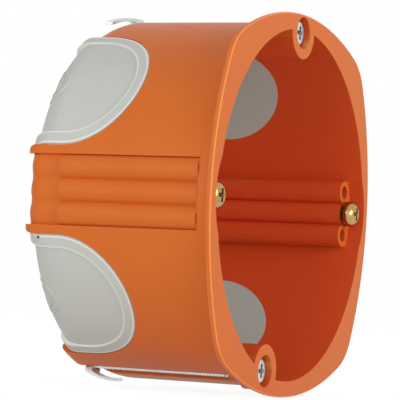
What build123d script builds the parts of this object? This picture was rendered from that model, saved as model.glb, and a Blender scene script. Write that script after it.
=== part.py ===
from build123d import *
from math import cos, radians, sin, sqrt
import os

# Round back box for a hollow wall, in millimetres.
# The mouth faces -Y, +Z is up and Y = 0 is the wall face that the flange sits against.
# Angles round the box are counted from +X towards +Z.

# Moulded cup
device_spacing = 60.0
column_inset = 3.2
body_depth = 37.3
wall = 1.2
back_corner_radius = 2.5

# Flange
flange_overhang = 1.7
flange_bow_radius = 59.0
flange_corner_radius = 10.0
flange_thickness = 1.0
flange_edge_radius = 0.4
collar_rise = 0.5

# Device screw columns, with ribs outside
column_angles = {"right": 0.0, "left": 180.0}
tube_count = 3
tube_pitch = 4.1
tube_radius = 2.2
tube_setback = 2.0
pilot_radius = 1.25
pilot_depth = 22.0
pocket_radius = 14.0
pocket_depth = 1.0
rib_radius = 2.45
rib_proud = 0.1
rib_flat_depth = 1.4
rib_front_web = 0.6
rib_end = 29.6
rib_tail_drop = 0.75
rib_back_cover = 1.2
rib_tail_radius = 4.5
rib_end_rounding = 2.6

# Clamp towers
clamp_angles = {"top": 90.0, "bottom": 253.0}
clamp_inset = 1.7
tower_radius = 4.8
clamp_bore_radius = 2.9
clamp_seat_depth = 2.7
clamp_web = 3.5
clamp_boss_wall = 0.45
clamp_boss_length = 2.7
clamp_shank_wall = 0.6
groove_lip = 0.8
groove_clearance = 0.45
claw_relief_length = 17.5
claw_relief_radius = 8.0

# Soft cable entries
entry_angles = {"upper_left": 143.0, "lower_left": 217.0, "upper_right": 50.0, "lower_right": -50.0}
entry_arch_gaps = {"upper_left": 7.1, "lower_left": 7.1, "upper_right": 10.6, "lower_right": 10.6}
entry_radius = 13.1
entry_corner_radius = 4.5
entry_field_corner_radius = 5.6
entry_back_inset = 7.2
entry_border = 2.3
entry_field_step = 0.3
entry_seam_width = 0.25
entry_seam_depth = 0.25
entry_inner_ring_radius = 1.9
entry_outer_ring_radius = 3.2
entry_ring_width = 0.5
entry_ring_rise = 0.15
entry_ring_slant = 47.0

# Screws
shank_clearance = 0.2
thread_clearance = 0.05
clamp_shank_radius = 1.5
clamp_head_radius = 2.45
clamp_head_height = 2.0
clamp_head_rounding = 0.65
clamp_tip_chamfer = 0.5
clamp_screw_end_gap = 2.5
device_shank_length = 18.0
device_head_radius = 2.45
device_head_height = 2.0
device_head_rounding = 1.0
device_tip_chamfer = 0.6
device_screw_lift = 0.8
recess_length = 3.0
recess_width = 0.8
recess_depth = 1.1

# Steel claws
claw_thickness = 1.45
claw_arm_height = 0.6
claw_arm_length = 10.7
claw_eye_clearance = 0.4
claw_neck_clearance = 0.45
claw_wall_clearance = 0.25
claw_notch_radius = 2.5
claw_notch_depth = 0.25
claw_notch_place = 3.4
claw_back_gap = 3.05

# Worked out from the sizes above
front = -flange_thickness
body_radius = device_spacing / 2 + column_inset
cavity_radius = body_radius - wall
floor = body_depth - wall
flange_half = body_radius + flange_overhang
tube_circle = device_spacing / 2
column_half = tube_pitch * (tube_count - 1) / 2 + tube_radius
tube_offsets = [tube_pitch * (i - (tube_count - 1) / 2) for i in range(tube_count)]
rib_start = tube_setback + rib_front_web
pocket_centre = cavity_radius + pocket_depth - pocket_radius
rib_circle = body_radius + rib_proud - rib_radius
tail_circle = body_radius + rib_proud - rib_tail_drop - rib_tail_radius
rib_inside = tube_circle - tube_radius + rib_back_cover
clamp_circle = body_radius - clamp_inset
clamp_seat = front + clamp_seat_depth
clamp_web_end = clamp_seat + clamp_web
groove_half = clamp_shank_radius + groove_clearance
lip_inside = clamp_inset - groove_lip
beyond = body_radius / 2


# Cup shape about Y: a plain cylinder with a rounded back corner
def envelope(corner_radius, inset, start):
    end = body_depth - inset
    with BuildPart() as cup:
        with BuildSketch(Plane.XY):
            with Locations((0, start)):
                Rectangle(body_radius - inset, end - start, align=(Align.MIN, Align.MIN))
            rim_corner = vertices().group_by(Axis.Y)[-1].sort_by(Axis.X)[-1]
            fillet(rim_corner, corner_radius - inset)
        revolve(axis=Axis.Y)
    return cup.part


# Plane square to Y at a point of the wall: its x is outwards, its y runs round the wall
def side_plane(angle, radius, y):
    out = Vector(cos(radians(angle)), 0, sin(radians(angle)))
    return Plane(origin=out * radius + Vector(0, y, 0), x_dir=out, z_dir=(0, 1, 0))


# Solid that passes through the wall and the back where a soft entry sits
def entry_cutter(angle, arch_gap, radius):
    out = Vector(cos(radians(angle)), 0, sin(radians(angle)))
    arch = body_depth - arch_gap
    back_circle = body_radius - entry_back_inset
    arch_plane = Plane(origin=out * back_circle + Vector(0, arch, 0), x_dir=(0, 1, 0), z_dir=out)
    back_start = floor - entry_field_corner_radius / 2
    with BuildPart() as cutter:
        with BuildSketch(arch_plane):
            Circle(radius)
            Rectangle(arch_gap + beyond, 2 * radius, align=(Align.MIN, Align.CENTER))
        extrude(amount=beyond)
        with BuildSketch(side_plane(angle, back_circle, back_start)):
            Circle(radius)
        extrude(amount=beyond)
    return cutter.part


# Cross slot for the driver, down from the plane
def cross_recess(plane):
    with BuildPart() as recess:
        with BuildSketch(plane):
            Rectangle(recess_length, recess_width)
            Rectangle(recess_width, recess_length)
        extrude(amount=recess_depth)
    return recess.part


outer_cup = envelope(back_corner_radius, 0, 0)
cavity = envelope(back_corner_radius, wall, front)
column_limit = envelope(back_corner_radius, wall / 2, front)
tail_floor = envelope(back_corner_radius, rib_flat_depth + rib_tail_drop, 0)
relief_cup = envelope(claw_relief_radius, 0, 0)
relief_cavity = envelope(claw_relief_radius, wall, front)
tower_limit = envelope(claw_relief_radius, wall / 2, front)
soft_cup = envelope(entry_corner_radius, 0, 0)
soft_cavity = envelope(entry_field_corner_radius + wall, wall, front)
field_skin = envelope(entry_field_corner_radius, entry_field_step, 0)
ring_skin = envelope(entry_field_corner_radius, entry_field_step - entry_ring_rise, 0)
seam_skin = envelope(entry_corner_radius, entry_seam_depth, 0)

# Entry shapes: the hole in the cup, and the outlines of the seam and of the sunk field
entry_holes = {}
entry_seams = {}
entry_fields = {}
for name, angle in entry_angles.items():
    gap = entry_arch_gaps[name]
    entry_holes[name] = entry_cutter(angle, gap, entry_radius)
    entry_seams[name] = entry_cutter(angle, gap, entry_radius - entry_seam_width)
    entry_fields[name] = entry_cutter(angle, gap, entry_radius - entry_border)

# Stretch of wall and back that each entry fills, with its softer corner
entry_plugs = {}
for name, hole in entry_holes.items():
    with BuildPart() as soft_piece:
        add(soft_cup)
        add(soft_cavity, mode=Mode.SUBTRACT)
        add(hole, mode=Mode.INTERSECT)
    entry_plugs[name] = soft_piece.part

# What the body gives up for each entry
entry_clearings = []
for hole in entry_holes.values():
    with BuildPart() as given_up:
        add(outer_cup)
        add(soft_cavity, mode=Mode.SUBTRACT)
        add(hole, mode=Mode.INTERSECT)
    entry_clearings.append(given_up.part)

# Flange plate with bowed sides and rounded corners
bow_centre = flange_half - flange_bow_radius
corner = (bow_centre + sqrt(2 * flange_bow_radius**2 - bow_centre**2)) / 2
with BuildPart() as flange:
    with BuildSketch(Plane.XZ):
        with BuildLine():
            ThreePointArc((-corner, corner), (0, flange_half), (corner, corner))
            ThreePointArc((corner, corner), (flange_half, 0), (corner, -corner))
            ThreePointArc((corner, -corner), (0, -flange_half), (-corner, -corner))
            ThreePointArc((-corner, -corner), (-flange_half, 0), (-corner, corner))
        make_face()
        fillet(vertices(), flange_corner_radius)
    extrude(amount=flange_thickness)
    fillet(edges().group_by(Axis.Y)[0], flange_edge_radius)
    fillet(edges().group_by(Axis.Y)[-1], flange_edge_radius)

# Mouth of the cup: flange, a low collar behind it and bosses round the clamp screw heads
with BuildPart() as mouth:
    add(flange.part)
    with BuildSketch(side_plane(0, 0, 0)):
        Circle(body_radius + collar_rise)
    extrude(amount=tube_setback)
    for angle in clamp_angles.values():
        with BuildSketch(side_plane(angle, clamp_circle, 0)):
            Circle(clamp_bore_radius + clamp_boss_wall)
        extrude(amount=clamp_boss_length)
        with BuildSketch(side_plane(angle, clamp_circle, 0)):
            Circle(clamp_shank_radius + shank_clearance + clamp_shank_wall)
        extrude(amount=clamp_web_end)
    add(cavity, mode=Mode.SUBTRACT)

# Back corner beside each clamp tower, rounded more so that the claw stands free
with BuildPart() as relief_band:
    for angle in clamp_angles.values():
        with BuildSketch(side_plane(angle, body_radius / 2, body_depth - claw_relief_radius)):
            Rectangle(body_radius, claw_relief_length, align=(Align.MIN, Align.MAX))
        extrude(amount=beyond)
with BuildPart() as relief_wall:
    add(relief_cup)
    add(relief_cavity, mode=Mode.SUBTRACT)
    add(relief_band.part, mode=Mode.INTERSECT)
    for hole in entry_holes.values():
        add(hole, mode=Mode.SUBTRACT)

# Inner tubes for the device screws, with the web that ties them to the wall
with BuildPart() as columns:
    for angle in column_angles.values():
        with BuildSketch(side_plane(angle, tube_circle, tube_setback)):
            with Locations([(0, offset) for offset in tube_offsets]):
                Circle(tube_radius)
            Rectangle(column_inset, 2 * column_half, align=(Align.MIN, Align.CENTER))
        extrude(amount=floor - tube_setback)
    add(column_limit, mode=Mode.INTERSECT)

# Inner half tubes that carry the clamp screws
with BuildPart() as towers:
    for angle in clamp_angles.values():
        with BuildSketch(side_plane(angle, clamp_circle, front)):
            Circle(tower_radius)
        extrude(amount=floor - front)
    add(tower_limit, mode=Mode.INTERSECT)

# Band outside each column where the ribs stand, deeper at the back
with BuildPart() as rib_band:
    for angle in column_angles.values():
        with BuildSketch(side_plane(angle, rib_inside, rib_start)):
            Rectangle(beyond, 2 * column_half, align=(Align.MIN, Align.CENTER))
        extrude(amount=body_depth)
with BuildPart() as rib_flats:
    for angle in column_angles.values():
        with BuildSketch(side_plane(angle, body_radius - rib_flat_depth, rib_start)):
            Rectangle(beyond, 2 * column_half, align=(Align.MIN, Align.CENTER))
        extrude(amount=body_depth)
with BuildPart() as tail_flats:
    for angle in column_angles.values():
        with BuildSketch(side_plane(angle, rib_inside, rib_end)):
            Rectangle(beyond, 2 * column_half, align=(Align.MIN, Align.CENTER))
        extrude(amount=body_depth)
    add(tail_floor, mode=Mode.SUBTRACT)

# Three half-round ribs side by side, and their lower ends that follow the back corner
with BuildPart() as ribs:
    for angle in column_angles.values():
        with BuildSketch(side_plane(angle, rib_circle, rib_start)):
            with Locations([(0, offset) for offset in tube_offsets]):
                Circle(rib_radius)
        extrude(amount=rib_end - rib_start)
    add(rib_band.part, mode=Mode.INTERSECT)
with BuildPart() as tail_rib:
    with BuildSketch(Plane.XY):
        Circle(rib_tail_radius)
    extrude(amount=body_depth - rib_tail_drop - rib_end)
    fillet(edges().group_by(Axis.Z)[-1], rib_end_rounding)
with BuildPart() as rib_tails:
    for angle in column_angles.values():
        with Locations(side_plane(angle, tail_circle, rib_end)):
            with Locations([(0, offset) for offset in tube_offsets]):
                add(tail_rib.part)
    add(rib_band.part, mode=Mode.INTERSECT)

with BuildPart() as box_body:
    add(outer_cup)
    add(cavity, mode=Mode.SUBTRACT)
    add(relief_band.part, mode=Mode.SUBTRACT)
    add(relief_wall.part)
    add(columns.part)
    add(towers.part)
    add(rib_flats.part, mode=Mode.SUBTRACT)
    add(tail_flats.part, mode=Mode.SUBTRACT)
    add(mouth.part)
    add(ribs.part)
    add(rib_tails.part)
    for clearing in entry_clearings:
        add(clearing, mode=Mode.SUBTRACT)
    # Pocket in front of each device column, and its pilot holes
    for angle in column_angles.values():
        with BuildSketch(side_plane(angle, pocket_centre, front)):
            Circle(pocket_radius)
        extrude(amount=flange_thickness + tube_setback, mode=Mode.SUBTRACT)
        with BuildSketch(side_plane(angle, tube_circle, tube_setback)):
            with Locations([(0, offset) for offset in tube_offsets]):
                Circle(pilot_radius)
        extrude(amount=pilot_depth, mode=Mode.SUBTRACT)
    # Head seat and shank hole of each clamp tower, and the groove where its claw slides
    for angle in clamp_angles.values():
        with BuildSketch(side_plane(angle, clamp_circle, front)):
            Circle(clamp_bore_radius)
        extrude(amount=clamp_seat_depth, mode=Mode.SUBTRACT)
        with BuildSketch(side_plane(angle, clamp_circle, clamp_seat)):
            Circle(clamp_shank_radius + shank_clearance)
        extrude(amount=clamp_web, mode=Mode.SUBTRACT)
        with BuildSketch(side_plane(angle, clamp_circle, clamp_web_end)):
            Circle(clamp_bore_radius)
            with Locations((lip_inside, 0)):
                Rectangle(beyond, 2 * tower_radius, align=(Align.MIN, Align.CENTER), mode=Mode.SUBTRACT)
            Rectangle(beyond, 2 * groove_half, align=(Align.MIN, Align.CENTER))
        extrude(amount=body_depth, mode=Mode.SUBTRACT)

os.makedirs("parts", exist_ok=True)
box_body.part.label = "box_body"
export_step(box_body.part, "parts/box_body.step")

# Soft grey entries: a raised border with a fine seam round it, a sunk field and two cutting rings
for name, angle in entry_angles.items():
    out = Vector(cos(radians(angle)), 0, sin(radians(angle)))
    slant = out * cos(radians(entry_ring_slant)) + Vector(0, sin(radians(entry_ring_slant)), 0)
    round_centre = out * (body_radius - entry_field_corner_radius)
    round_centre = round_centre + Vector(0, body_depth - entry_field_corner_radius, 0)
    ring_plane = Plane(round_centre, x_dir=out.cross(Vector(0, 1, 0)), z_dir=slant)
    with BuildPart() as seam:
        add(entry_plugs[name])
        add(seam_skin, mode=Mode.SUBTRACT)
        add(entry_seams[name], mode=Mode.SUBTRACT)
    with BuildPart() as field:
        add(entry_plugs[name])
        add(field_skin, mode=Mode.SUBTRACT)
        add(entry_fields[name], mode=Mode.INTERSECT)
    with BuildPart() as rings:
        for ring_radius in (entry_inner_ring_radius, entry_outer_ring_radius):
            with BuildSketch(ring_plane):
                Circle(ring_radius + entry_ring_width / 2)
                Circle(ring_radius - entry_ring_width / 2, mode=Mode.SUBTRACT)
            extrude(amount=entry_field_corner_radius + wall)
        add(ring_skin, mode=Mode.INTERSECT)
        add(field.part, mode=Mode.INTERSECT)
    with BuildPart() as membrane:
        add(entry_plugs[name])
        add(seam.part, mode=Mode.SUBTRACT)
        add(field.part, mode=Mode.SUBTRACT)
        add(rings.part)
    membrane.part.label = "entry_membrane_" + name
    export_step(membrane.part, "parts/entry_membrane_" + name + ".step")

# Clamp screws, captive in their towers, and the bent steel claws that they pull forwards
for name, angle in clamp_angles.items():
    head_front = clamp_seat - clamp_head_height
    head_plane = side_plane(angle, clamp_circle, head_front)
    driver_slot = cross_recess(head_plane)
    with BuildPart() as clamp_screw:
        with BuildSketch(head_plane):
            Circle(clamp_head_radius)
        extrude(amount=clamp_head_height)
        fillet(edges().group_by(Axis.Y)[0], clamp_head_rounding)
        with BuildSketch(head_plane.offset(clamp_head_height)):
            Circle(clamp_shank_radius)
        extrude(amount=body_depth - clamp_screw_end_gap - clamp_seat)
        chamfer(edges().group_by(Axis.Y)[-1], clamp_tip_chamfer)
        add(driver_slot, mode=Mode.SUBTRACT)
    clamp_screw.part.label = "clamp_screw_" + name
    export_step(clamp_screw.part, "parts/clamp_screw_" + name + ".step")

    # Claw: a flat plate with an eye on the screw, a neck through the groove and an arm along the wall
    claw_front = body_depth - claw_back_gap - claw_thickness
    arm_inside = body_radius + claw_wall_clearance
    arm_outside = arm_inside + claw_arm_height
    eye_radius = clamp_bore_radius - claw_eye_clearance
    neck_half = groove_half - claw_neck_clearance
    neck_length = arm_inside + claw_arm_height / 2 - clamp_circle
    arm_width = neck_half + claw_arm_length
    notch_radial = arm_outside + claw_notch_radius - claw_notch_depth
    with BuildPart() as claw:
        with BuildSketch(side_plane(angle, 0, claw_front)):
            Circle(arm_outside)
            Circle(arm_inside, mode=Mode.SUBTRACT)
            with Locations((0, neck_half)):
                Rectangle(arm_outside, arm_width, align=(Align.MIN, Align.MAX), mode=Mode.INTERSECT)
            with Locations((notch_radial, -claw_notch_place)):
                Circle(claw_notch_radius, mode=Mode.SUBTRACT)
        extrude(amount=claw_thickness)
        with BuildSketch(side_plane(angle, clamp_circle, claw_front)):
            Circle(eye_radius)
            with Locations((lip_inside - claw_eye_clearance, 0)):
                Rectangle(beyond, 2 * tower_radius, align=(Align.MIN, Align.CENTER), mode=Mode.SUBTRACT)
            Rectangle(neck_length, 2 * neck_half, align=(Align.MIN, Align.CENTER))
            Circle(clamp_shank_radius + thread_clearance, mode=Mode.SUBTRACT)
        extrude(amount=claw_thickness)
    claw.part.label = "claw_" + name
    export_step(claw.part, "parts/claw_" + name + ".step")

# Device screws in the middle tube of each column, not driven home
for name, angle in column_angles.items():
    head_plane = side_plane(angle, tube_circle, tube_setback - device_screw_lift - device_head_height)
    driver_slot = cross_recess(head_plane)
    with BuildPart() as device_screw:
        with BuildSketch(head_plane):
            Circle(device_head_radius)
        extrude(amount=device_head_height)
        fillet(edges().group_by(Axis.Y)[0], device_head_rounding)
        with BuildSketch(head_plane.offset(device_head_height)):
            Circle(pilot_radius - thread_clearance)
        extrude(amount=device_shank_length)
        chamfer(edges().group_by(Axis.Y)[-1], device_tip_chamfer)
        add(driver_slot, mode=Mode.SUBTRACT)
    device_screw.part.label = "device_screw_" + name
    export_step(device_screw.part, "parts/device_screw_" + name + ".step")
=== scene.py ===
from math import cos, pi, radians, sin

import bpy
from mathutils import Matrix, Vector


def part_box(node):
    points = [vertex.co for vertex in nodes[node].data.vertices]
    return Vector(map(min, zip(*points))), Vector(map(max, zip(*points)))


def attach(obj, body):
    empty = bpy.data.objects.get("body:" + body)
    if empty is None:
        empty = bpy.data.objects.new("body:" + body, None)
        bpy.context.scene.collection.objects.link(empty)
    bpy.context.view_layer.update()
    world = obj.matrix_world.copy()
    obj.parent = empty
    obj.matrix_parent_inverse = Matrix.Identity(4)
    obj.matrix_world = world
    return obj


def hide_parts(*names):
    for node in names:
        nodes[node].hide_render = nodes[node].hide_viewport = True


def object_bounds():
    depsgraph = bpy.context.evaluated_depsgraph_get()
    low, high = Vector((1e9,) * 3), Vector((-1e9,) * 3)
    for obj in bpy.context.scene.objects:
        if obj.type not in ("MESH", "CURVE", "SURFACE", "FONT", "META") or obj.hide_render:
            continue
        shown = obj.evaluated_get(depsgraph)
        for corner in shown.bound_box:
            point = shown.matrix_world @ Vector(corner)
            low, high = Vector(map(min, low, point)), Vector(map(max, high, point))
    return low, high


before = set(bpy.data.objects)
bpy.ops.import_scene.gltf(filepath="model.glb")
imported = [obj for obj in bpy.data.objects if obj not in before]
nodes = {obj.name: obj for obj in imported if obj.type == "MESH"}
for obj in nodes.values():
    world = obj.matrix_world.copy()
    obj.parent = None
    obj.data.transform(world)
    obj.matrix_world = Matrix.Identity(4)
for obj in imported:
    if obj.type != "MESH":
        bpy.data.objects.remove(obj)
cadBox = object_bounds()
print("frame loaded:", len(nodes), "nodes")


def srgb(red, green, blue):  # 0-255 screen values to the linear colour a shader takes
    shares = [value / 255 for value in (red, green, blue)]
    return (*(c / 12.92 if c <= 0.04045 else ((c + 0.055) / 1.055) ** 2.4 for c in shares), 1.0)


class Wire:  # a node socket that can stand in a sum
    def __init__(self, tree, socket=None):
        self.tree = tree
        self.socket = socket

    def node(self, kind, settings=None, sockets=None, output=0):
        made = self.tree.nodes.new(kind)
        for key, value in (settings or {}).items():
            setattr(made, key, value)
        for key, value in (sockets or {}).items():
            if isinstance(value, Wire):
                self.tree.links.new(value.socket, made.inputs[key])
            else:
                made.inputs[key].default_value = value
        return Wire(self.tree, made.outputs[output] if len(made.outputs) else None)

    def maths(self, operation, first, second=0.0):
        return self.node("ShaderNodeMath", {"operation": operation}, {0: first, 1: second})

    def __add__(self, other):
        return self.maths("ADD", self, other)

    def __radd__(self, other):
        return self.maths("ADD", other, self)

    def __sub__(self, other):
        return self.maths("SUBTRACT", self, other)

    def __rsub__(self, other):
        return self.maths("SUBTRACT", other, self)

    def __mul__(self, other):
        return self.maths("MULTIPLY", self, other)

    def __rmul__(self, other):
        return self.maths("MULTIPLY", other, self)

    def __truediv__(self, other):
        return self.maths("DIVIDE", self, other)

    def __rtruediv__(self, other):
        return self.maths("DIVIDE", other, self)

    def low(self, other):
        return self.maths("MINIMUM", self, other)

    def over(self, other):
        return self.maths("GREATER_THAN", self, other)

    def below(self, other):
        return self.maths("LESS_THAN", self, other)

    def root(self):
        return self.maths("SQRT", self)

    def near(self, target, width):  # 1 on the target value, falling to 0 a width away
        away = self.maths("ABSOLUTE", self - target)
        return self.maths("MAXIMUM", 1 - away / width, 0.0)

    def around(self, middle, spread):  # a noise laid evenly about a middle value
        return middle + (self - 0.5) * spread

    def noise(self, place, scale, detail=3.0, roughness=0.55):
        sockets = {"Vector": place, "Scale": scale, "Detail": detail, "Roughness": roughness}
        return self.node("ShaderNodeTexNoise", {}, sockets)

    def mixColour(self, factor, first, second):
        return self.node("ShaderNodeMix", {"data_type": "RGBA"}, {0: factor, 6: first, 7: second}, 2)

    def bump(self, height, strength, distance):
        return self.node("ShaderNodeBump", {}, {"Strength": strength, "Distance": distance, "Height": height})

    def apart(self, vector):  # the three parts of a vector
        return [self.node("ShaderNodeSeparateXYZ", {}, {0: vector}, axis) for axis in (0, 1, 2)]

    def vector(self, operation, first, second=(0.0, 0.0, 0.0), output=0):
        return self.node("ShaderNodeVectorMath", {"operation": operation}, {0: first, 1: second}, output)

    def objectPlace(self):
        return self.node("ShaderNodeTexCoord", output="Object")

    def facing(self):
        return self.node("ShaderNodeNewGeometry", output="Normal")

    def seenDirectly(self):  # camera, mirror and glass rays
        kinds = ("Is Camera Ray", "Is Glossy Ray", "Is Transmission Ray")
        camera, glossy, clear = (self.node("ShaderNodeLightPath", output=kind) for kind in kinds)
        return (camera + glossy + clear).low(1.0)


def newMaterial(name):
    material = bpy.data.materials.new(name)
    material.use_nodes = True
    material.node_tree.nodes.clear()
    return material, Wire(material.node_tree)


def finishMaterial(wire, shader):
    wire.node("ShaderNodeOutputMaterial", {}, {"Surface": shader})


# camera, from the photograph's viewing angle
photoCamera = {
    "place": (-0.41095, -0.18423, -0.0185),
    "azimuth": -63.773,
    "elevation": -2.364,
    "roll": 3.066,
    "lens": 222.83,
    "sensor": 36.0,
    "clipStart": 0.01,
}


def addCamera(values):
    azimuth, elevation, roll = (radians(values[key]) for key in ("azimuth", "elevation", "roll"))
    back = Vector((sin(azimuth) * cos(elevation), -cos(azimuth) * cos(elevation), sin(elevation)))
    right = (-back).cross(Vector((0, 0, 1))).normalized()
    up = right.cross(-back)
    level = Matrix((right, up, back)).transposed()
    turned = level @ Matrix.Rotation(roll, 3, "Z")
    data = bpy.data.cameras.new("photoCamera")
    data.lens = values["lens"]
    data.sensor_width = values["sensor"]
    data.clip_start = values["clipStart"]
    camera = bpy.data.objects.new("photoCamera", data)
    bpy.context.scene.collection.objects.link(camera)
    camera.matrix_world = Matrix.Translation(values["place"]) @ turned.to_4x4()
    bpy.context.scene.camera = camera


addCamera(photoCamera)
print("camera placed")

# floor, world and lamps
studio = {
    "white": (1.0, 1.0, 1.0, 1.0),
    "floorSize": 6.0,
    "floorColour": (0.95, 0.95, 0.95, 1.0),
    "floorShare": 0.8,  # how far the floor shows as plain white
    "floorWhite": 1.15,
    "worldStrength": 0.42,
    "lamps": {  # place, size, power
        "mouthLamp": ((-0.1, -0.57, 0.14), 0.3, 1.2),
        "sideLamp": ((-0.74, 0.1, 0.16), 0.45, 2.0),
        "frontLamp": ((-0.4, -0.7, 0.0), 0.5, 1.8),
    },
}


def addLamp(name, place, size, power):
    data = bpy.data.lights.new(name, "AREA")
    data.shape = "DISK"
    data.size = size
    data.energy = power
    lamp = bpy.data.objects.new(name, data)
    bpy.context.scene.collection.objects.link(lamp)
    lamp.location = place
    lamp.rotation_euler = (-Vector(place)).to_track_quat("-Z", "Y").to_euler()


def addStudio(values):
    scene = bpy.context.scene
    scene.view_settings.view_transform = "Standard"
    scene.world = bpy.data.worlds.new("studioWorld")
    scene.world.use_nodes = True
    scene.world.node_tree.nodes.clear()
    sky = Wire(scene.world.node_tree)
    seen = sky.seenDirectly()
    strength = seen + (1 - seen) * values["worldStrength"]
    light = sky.node("ShaderNodeBackground", {}, {"Color": values["white"], "Strength": strength})
    sky.node("ShaderNodeOutputWorld", {}, {"Surface": light})
    bpy.ops.object.select_all(action="DESELECT")
    bpy.ops.mesh.primitive_plane_add(size=values["floorSize"], location=(0, 0, cadBox[0].z))
    floor = bpy.context.object
    floor.name = "studioFloor"
    material, wire = newMaterial("paleFloor")
    matte = wire.node("ShaderNodeBsdfDiffuse", {}, {"Color": values["floorColour"]})
    glow = {"Color": values["white"], "Strength": values["floorWhite"]}
    white = wire.node("ShaderNodeEmission", {}, glow)
    shown = wire.seenDirectly() * values["floorShare"]
    finishMaterial(wire, wire.node("ShaderNodeMixShader", {}, {0: shown, 1: matte, 2: white}))
    floor.data.materials.append(material)
    for name, (place, size, power) in values["lamps"].items():
        addLamp(name, place, size, power)


addStudio(studio)
print("studio lit")

# where the inside of the box begins
boxInside = {"middle": (0.0, 0.015, 0.0), "mouth": -0.0009}


def turnedIn(wire, place, lean):  # 1 on faces that look at the box's middle, from the mouth inwards
    away = wire.vector("NORMALIZE", wire.vector("SUBTRACT", place, boxInside["middle"]))
    look = wire.vector("DOT_PRODUCT", away, wire.facing(), 1)
    return look.below(-lean) * wire.apart(place)[1].over(boxInside["mouth"])


# moulded orange plastic
orangePlastic = {
    "colour": srgb(222, 117, 50),
    "deepColour": srgb(210, 104, 40),
    "insideLightTint": srgb(224, 88, 42),  # painted bounce light: the inside is painted redder, as if lit by its own orange walls
    "edgeHighlightColour": srgb(255, 168, 100),  # painted highlight on edges that catch the light
    "edgeHighlightShare": 0.7,
    "rimLean": 0.6,  # how far a face of the flange's rounded edge looks outwards
    "rimLeanWidth": 0.4,
    "ribEnd": 0.0296,
    "ribEndWidth": 0.0006,
    "ribEndLean": 0.3,
    "innerLean": 0.12,
    "specular": 0.12,
    "cloudScale": 70.0,
    "grainScale": 2600.0,
    "grainDetail": 2.0,
    "grainShare": 0.3,
    "grainHeight": 0.00003,
    "grainStrength": 0.25,
    "roughness": 0.4,
    "roughnessSpread": 0.14,
}


def makeOrange(values):
    material, wire = newMaterial("orangePlastic")
    place = wire.objectPlace()
    cloud = wire.noise(place, values["cloudScale"])
    grain = wire.noise(place, values["grainScale"], values["grainDetail"])
    x, y, z = wire.apart(place)
    nx, ny, nz = wire.apart(wire.facing())
    spread = (x * nx + z * nz) / (x * x + z * z).root()  # 1 where a face looks straight outwards
    # painted highlight masks: the flange's rounded rim and the rib ends
    rim = spread.near(values["rimLean"], values["rimLeanWidth"]) * y.below(0.0)
    shoulder = ny.over(values["ribEndLean"]) * y.near(values["ribEnd"], values["ribEndWidth"])
    mottle = cloud * (1 - values["grainShare"]) + grain * values["grainShare"]
    colour = wire.mixColour(mottle, values["deepColour"], values["colour"])
    # painted bounce light: faces turned into the box take the redder colour
    colour = wire.mixColour(turnedIn(wire, place, values["innerLean"]), colour, values["insideLightTint"])
    # painted highlight mixed onto the rim and the rib ends
    colour = wire.mixColour((rim + shoulder).low(1.0) * values["edgeHighlightShare"], colour, values["edgeHighlightColour"])
    shader = wire.node("ShaderNodeBsdfPrincipled", {}, {
        "Base Color": colour,
        "Specular IOR Level": values["specular"],
        "Roughness": cloud.around(values["roughness"], values["roughnessSpread"]),
        "Normal": wire.bump(grain, values["grainStrength"], values["grainHeight"]),
    })
    finishMaterial(wire, shader)
    return material


# soft grey cable entry
greySoft = {
    "colour": srgb(203, 205, 199),
    "deepColour": srgb(191, 194, 187),
    # painted light: the inside is tinted lighter and cyan to offset the red bounce light
    "insideLightTint": srgb(188, 214, 208),
    "innerLean": 0.5,
    # painted highlight along the field edge and the rim
    "lineHighlightColour": srgb(236, 237, 231),
    "cloudScale": 120.0,
    "grainScale": 3800.0,
    "grainDetail": 2.0,
    "grainShare": 0.3,
    "grainHeight": 0.00003,
    "grainStrength": 0.3,
    "roughness": 0.62,
    "roughnessSpread": 0.1,
    "backRadius": 0.026,  # where the entry's round end sits on the back
    "lines": ((0.0108, 0.0003), (0.01265, 0.00028)),  # painted highlight lines on field edge and rim: place, width
    "speckPlace": (-0.03195, 0.03387, -0.00853),
    "speckSize": 0.0004,
    "speckSharpness": 2.0,
    "speckColour": srgb(60, 58, 54),
}
entryPlaces = {  # angle round the box, start of the arch
    "upper_left": (143.0, 0.0302),
    "lower_left": (217.0, 0.0302),
    "upper_right": (50.0, 0.0267),
    "lower_right": (-50.0, 0.0267),
}


def makeGrey(name, values, angle, arch):
    material, wire = newMaterial(name)
    place = wire.objectPlace()
    cloud = wire.noise(place, values["cloudScale"])
    grain = wire.noise(place, values["grainScale"], values["grainDetail"])
    x, y, z = wire.apart(place)
    across = z * cos(radians(angle)) - x * sin(radians(angle))
    out = x * cos(radians(angle)) + z * sin(radians(angle))
    ahead = (y - arch).low(0.0)
    inward = (out - values["backRadius"]).low(0.0)
    reach = (across * across + ahead * ahead + inward * inward).root()  # way from the entry's middle line
    inner, rim = (reach.near(target, width) for target, width in values["lines"])
    speck = wire.vector("DISTANCE", place, values["speckPlace"], 1).near(0.0, values["speckSize"])
    mottle = cloud * (1 - values["grainShare"]) + grain * values["grainShare"]
    colour = wire.mixColour(mottle, values["deepColour"], values["colour"])
    # painted highlight lines on the field edge and the rim
    colour = wire.mixColour((inner + rim).low(1.0), colour, values["lineHighlightColour"])
    # painted light: faces turned into the box take the lighter cyan tint
    colour = wire.mixColour(turnedIn(wire, place, values["innerLean"]), colour, values["insideLightTint"])
    colour = wire.mixColour((speck * values["speckSharpness"]).low(1.0), colour, values["speckColour"])
    shader = wire.node("ShaderNodeBsdfPrincipled", {}, {
        "Base Color": colour,
        "Roughness": cloud.around(values["roughness"], values["roughnessSpread"]),
        "Normal": wire.bump(grain, values["grainStrength"], values["grainHeight"]),
    })
    finishMaterial(wire, shader)
    return material


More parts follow.
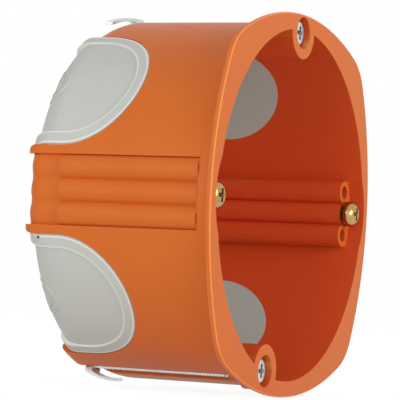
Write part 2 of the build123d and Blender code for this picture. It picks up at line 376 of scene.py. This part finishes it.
# plated steel, bright for the clamp parts and yellow for the device screws
platedSteel = {
    "zincSteel": {
        "colour": srgb(224, 226, 226),
        "deepColour": srgb(180, 184, 188),
        # painted shade colour for the depth of the driver cross
        "recessShadeColour": srgb(30, 34, 38),
        "roughness": 0.24,
    },
    "yellowZinc": {
        "colour": srgb(214, 178, 118),
        "deepColour": srgb(150, 110, 60),
        # painted shade colour for the depth of the driver cross
        "recessShadeColour": srgb(60, 34, 16),
        "roughness": 0.22,
    },
}
platedSkin = {
    "cloudScale": 500.0,
    "scuffScale": 5000.0,
    "scuffDetail": 4.0,
    "scuffFineness": 0.7,
    "scuffSpread": 0.2,
    "scuffStrength": 0.2,
    "scuffHeight": 0.00002,
    "recessShadeDulls": 0.7,  # how far the painted recess shade hides the metal
    "recessShadeRough": 0.2,
}


def makePlated(name, values):
    material, wire = newMaterial(name)
    place = wire.objectPlace()
    cloud = wire.noise(place, platedSkin["cloudScale"])
    scuff = wire.noise(place, platedSkin["scuffScale"], platedSkin["scuffDetail"],
                       platedSkin["scuffFineness"])
    # painted shade in the driver cross, read from the mark each screw carries
    recessShade = wire.node("ShaderNodeAttribute", {"attribute_name": "recessShade"}, output="Fac")
    colour = wire.mixColour(cloud, values["deepColour"], values["colour"])
    rough = scuff.around(values["roughness"], platedSkin["scuffSpread"])
    shader = wire.node("ShaderNodeBsdfPrincipled", {}, {
        "Base Color": wire.mixColour(recessShade, colour, values["recessShadeColour"]),
        "Metallic": 1 - recessShade * platedSkin["recessShadeDulls"],
        "Roughness": rough + recessShade * platedSkin["recessShadeRough"],
        "Normal": wire.bump(scuff, platedSkin["scuffStrength"], platedSkin["scuffHeight"]),
    })
    finishMaterial(wire, shader)
    return material


def paint(thing, material):
    thing.data.materials.clear()
    thing.data.materials.append(material)


orange = makeOrange(orangePlastic)
plated = {name: makePlated(name, values) for name, values in platedSteel.items()}
paint(nodes["box_body"], orange)
for side, (angle, arch) in entryPlaces.items():
    paint(nodes["entry_membrane_" + side], makeGrey("greySoft_" + side, greySoft, angle, arch))
for end in ("top", "bottom"):
    paint(nodes["claw_" + end], plated["zincSteel"])
print("materials assigned")

# cross-recess screws with wound threads, in place of the plain CAD ones
clampScrew = {
    "node": "clamp_screw_",
    "headHeight": 0.002,
    "headRounding": 0.00065,
    "neck": 0.0037,  # plain part under the head
    "crestRadius": 0.0015,
    "rootRadius": 0.00122,
    "pitch": 0.0007,
    "tip": 0.0006,
    "material": "zincSteel",
    "slot": "zinc_steel",
    "bodies": {"top": "top_screw", "bottom": "bottom_screw"},
}
deviceScrew = {
    "node": "device_screw_",
    "headHeight": 0.002,
    "headRounding": 0.0016,
    "neck": 0.0006,
    "crestRadius": 0.0012,
    "rootRadius": 0.00085,
    "pitch": 0.0012,
    "tip": 0.0016,
    "material": "yellowZinc",
    "slot": "yellow_zinc",
    "bodies": {"left": "left_device_screw", "right": "right_device_screw"},
}
driverCross = {
    "length": 0.0033,
    "width": 0.001,
    "depth": 0.0013,
    "taper": 0.5,
    # where the painted shade in the driver cross starts and ends
    "recessShadeStart": 0.0003,
    "recessShadeEnd": 0.75,  # as a share of the head's height
    "recessShadeReach": 0.43,  # as a share of the slot's length
}
screwShape = {
    "headSides": 64,
    "roundingSteps": 8,
    "shankSides": 40,
    "sunk": 0.0002,  # the shank starts this far inside the head
    "runOut": 0.33,  # neck to thread root, in pitches
    "tipTaper": 0.55,
    "ridgeBase": 0.8,  # width of the ridge at its foot, in pitches
    "ridgeCrest": 0.2,  # width at its crest, as a share of the foot
    "ridgeRoot": 0.2,  # how far it goes into the shank, as a share of its height
    "turnSteps": 24,
    "smoothAngle": 35.0,
}


def applyModifiers(thing):
    bpy.context.view_layer.objects.active = thing
    for modifier in list(thing.modifiers):
        bpy.ops.object.modifier_apply(modifier=modifier.name)


def selectOnly(*things):  # the first of them becomes the active object
    bpy.ops.object.select_all(action="DESELECT")
    for thing in things:
        thing.select_set(True)
    if things:
        bpy.context.view_layer.objects.active = things[0]


def pickVertices(thing, wanted):  # in edit mode, selects the vertices that the test picks
    bpy.ops.mesh.select_mode(type="VERT")
    bpy.ops.mesh.select_all(action="DESELECT")
    bpy.ops.object.mode_set(mode="OBJECT")
    for vertex in thing.data.vertices:
        vertex.select = wanted(vertex.co)
    bpy.ops.object.mode_set(mode="EDIT")


def cutCross(head):  # two tapered slots, one across the other
    size = (driverCross["length"], driverCross["width"], 2 * driverCross["depth"])
    for turn in (0.0, pi / 2):
        selectOnly()
        bpy.ops.mesh.primitive_cube_add(size=1.0, rotation=(0, 0, turn), scale=size)
        bpy.ops.object.transform_apply()
        cutter = bpy.context.object
        bpy.ops.object.mode_set(mode="EDIT")
        pickVertices(cutter, lambda co: co.z > 0)
        bpy.ops.transform.resize(value=(driverCross["taper"], driverCross["taper"], 1.0))
        bpy.ops.object.mode_set(mode="OBJECT")
        cut = head.modifiers.new("cut", "BOOLEAN")
        cut.operation = "DIFFERENCE"
        cut.solver = "EXACT"
        cut.object = cutter
        applyModifiers(head)
        bpy.data.objects.remove(cutter)


def makeHead(values, radius):  # front face at z = 0, shank side at z = headHeight
    height = values["headHeight"]
    selectOnly()
    bpy.ops.mesh.primitive_cylinder_add(vertices=screwShape["headSides"], radius=radius, depth=height,
                                        location=(0, 0, height / 2))
    bpy.ops.object.transform_apply()
    head = bpy.context.object
    bpy.ops.object.mode_set(mode="EDIT")
    pickVertices(head, lambda co: co.z < height / 2)
    bpy.ops.mesh.bevel(offset=values["headRounding"], segments=screwShape["roundingSteps"], affect="EDGES")
    bpy.ops.object.mode_set(mode="OBJECT")
    cutCross(head)
    return head


def makeShank(values, length):  # plain neck, then the root of the thread, then a narrowed tip
    neck = values["neck"]
    start = values["headHeight"] - screwShape["sunk"]
    runOut = values["pitch"] * screwShape["runOut"]
    threaded = length + screwShape["sunk"] - neck - runOut - values["tip"]
    selectOnly()
    bpy.ops.mesh.primitive_cylinder_add(vertices=screwShape["shankSides"], radius=values["crestRadius"],
                                        depth=neck, location=(0, 0, start + neck / 2))
    bpy.ops.object.transform_apply()
    shank = bpy.context.object
    bpy.ops.object.mode_set(mode="EDIT")
    pickVertices(shank, lambda co: co.z > start + neck / 2)
    slim = values["rootRadius"] / values["crestRadius"]
    for step, size in ((runOut, slim), (threaded, 1.0), (values["tip"], screwShape["tipTaper"])):
        bpy.ops.mesh.extrude_region_move(TRANSFORM_OT_translate={"value": (0, 0, step)})
        bpy.ops.transform.resize(value=(size, size, 1.0))
    bpy.ops.object.mode_set(mode="OBJECT")
    return shank


def makeThread(values, length):  # one ridge of trapezium section, wound along the shank
    pitch = values["pitch"]
    ridge = (values["crestRadius"] - values["rootRadius"]) * (1 + screwShape["ridgeRoot"])
    first = values["headHeight"] - screwShape["sunk"] + values["neck"] + pitch / 2
    last = values["headHeight"] + length - values["tip"] - pitch / 2
    selectOnly()
    bpy.ops.mesh.primitive_plane_add(size=1.0, rotation=(pi / 2, 0, 0))
    bpy.ops.object.transform_apply()
    thread = bpy.context.object
    bpy.ops.object.mode_set(mode="EDIT")
    bpy.ops.mesh.select_all(action="SELECT")
    bpy.ops.transform.resize(value=(ridge, 1.0, pitch * screwShape["ridgeBase"]))
    pickVertices(thread, lambda co: co.x > 0)
    bpy.ops.transform.resize(value=(1.0, 1.0, screwShape["ridgeCrest"]))
    bpy.ops.mesh.select_all(action="SELECT")
    bpy.ops.transform.translate(value=(values["crestRadius"] - ridge / 2, 0, first))
    bpy.ops.mesh.delete(type="ONLY_FACE")
    bpy.ops.object.mode_set(mode="OBJECT")
    wind = thread.modifiers.new("wind", "SCREW")
    wind.axis = "Z"
    wind.screw_offset = pitch
    wind.iterations = int((last - first) / pitch)
    wind.steps = screwShape["turnSteps"]
    wind.render_steps = screwShape["turnSteps"]
    wind.use_normal_calculate = True
    applyModifiers(thread)
    bpy.ops.object.mode_set(mode="EDIT")
    bpy.ops.mesh.select_all(action="SELECT")
    bpy.ops.mesh.fill_holes(sides=0)
    bpy.ops.mesh.normals_make_consistent(inside=False)
    bpy.ops.object.mode_set(mode="OBJECT")
    return thread


def markRecessShade(screw, values):  # painted shade: the driver cross is darkened in its depth
    reach = driverCross["length"] * driverCross["recessShadeReach"]
    end = values["headHeight"] * driverCross["recessShadeEnd"]
    recessShade = screw.data.attributes.new("recessShade", "FLOAT", "POINT")
    for vertex, mark in zip(screw.data.vertices, recessShade.data):
        deep = driverCross["recessShadeStart"] < vertex.co.z < end
        mark.value = float(deep and vertex.co.xy.length < reach)


def modelScrew(values, radius, length):  # on the Y axis, head first
    head = makeHead(values, radius)
    shank = makeShank(values, length)
    thread = makeThread(values, length)
    selectOnly(head, shank, thread)
    bpy.ops.object.join()
    markRecessShade(head, values)
    bpy.ops.object.shade_smooth_by_angle(angle=radians(screwShape["smoothAngle"]))
    head.rotation_euler = (-pi / 2, 0, 0)
    bpy.ops.object.transform_apply()
    paint(head, plated[values["material"]])
    return head


def addScrews(values):
    boxes = {end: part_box(values["node"] + end) for end in values["bodies"]}
    radius = min(high.x - low.x for low, high in boxes.values()) / 2
    length = min(high.y - low.y for low, high in boxes.values()) - values["headHeight"]
    model = modelScrew(values, radius, length)  # modelled once, then copied to each place
    for end, (low, high) in boxes.items():
        selectOnly(model)
        bpy.ops.object.duplicate()
        screw = bpy.context.object
        screw.name = values["node"] + end + "_threaded"
        screw.location = ((low.x + high.x) / 2, low.y, (low.z + high.z) / 2)
        bpy.ops.object.transform_apply()
        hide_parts(values["node"] + end)
        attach(screw, values["bodies"][end])
    bpy.data.objects.remove(model)


addScrews(clampScrew)
addScrews(deviceScrew)
print("screws threaded")
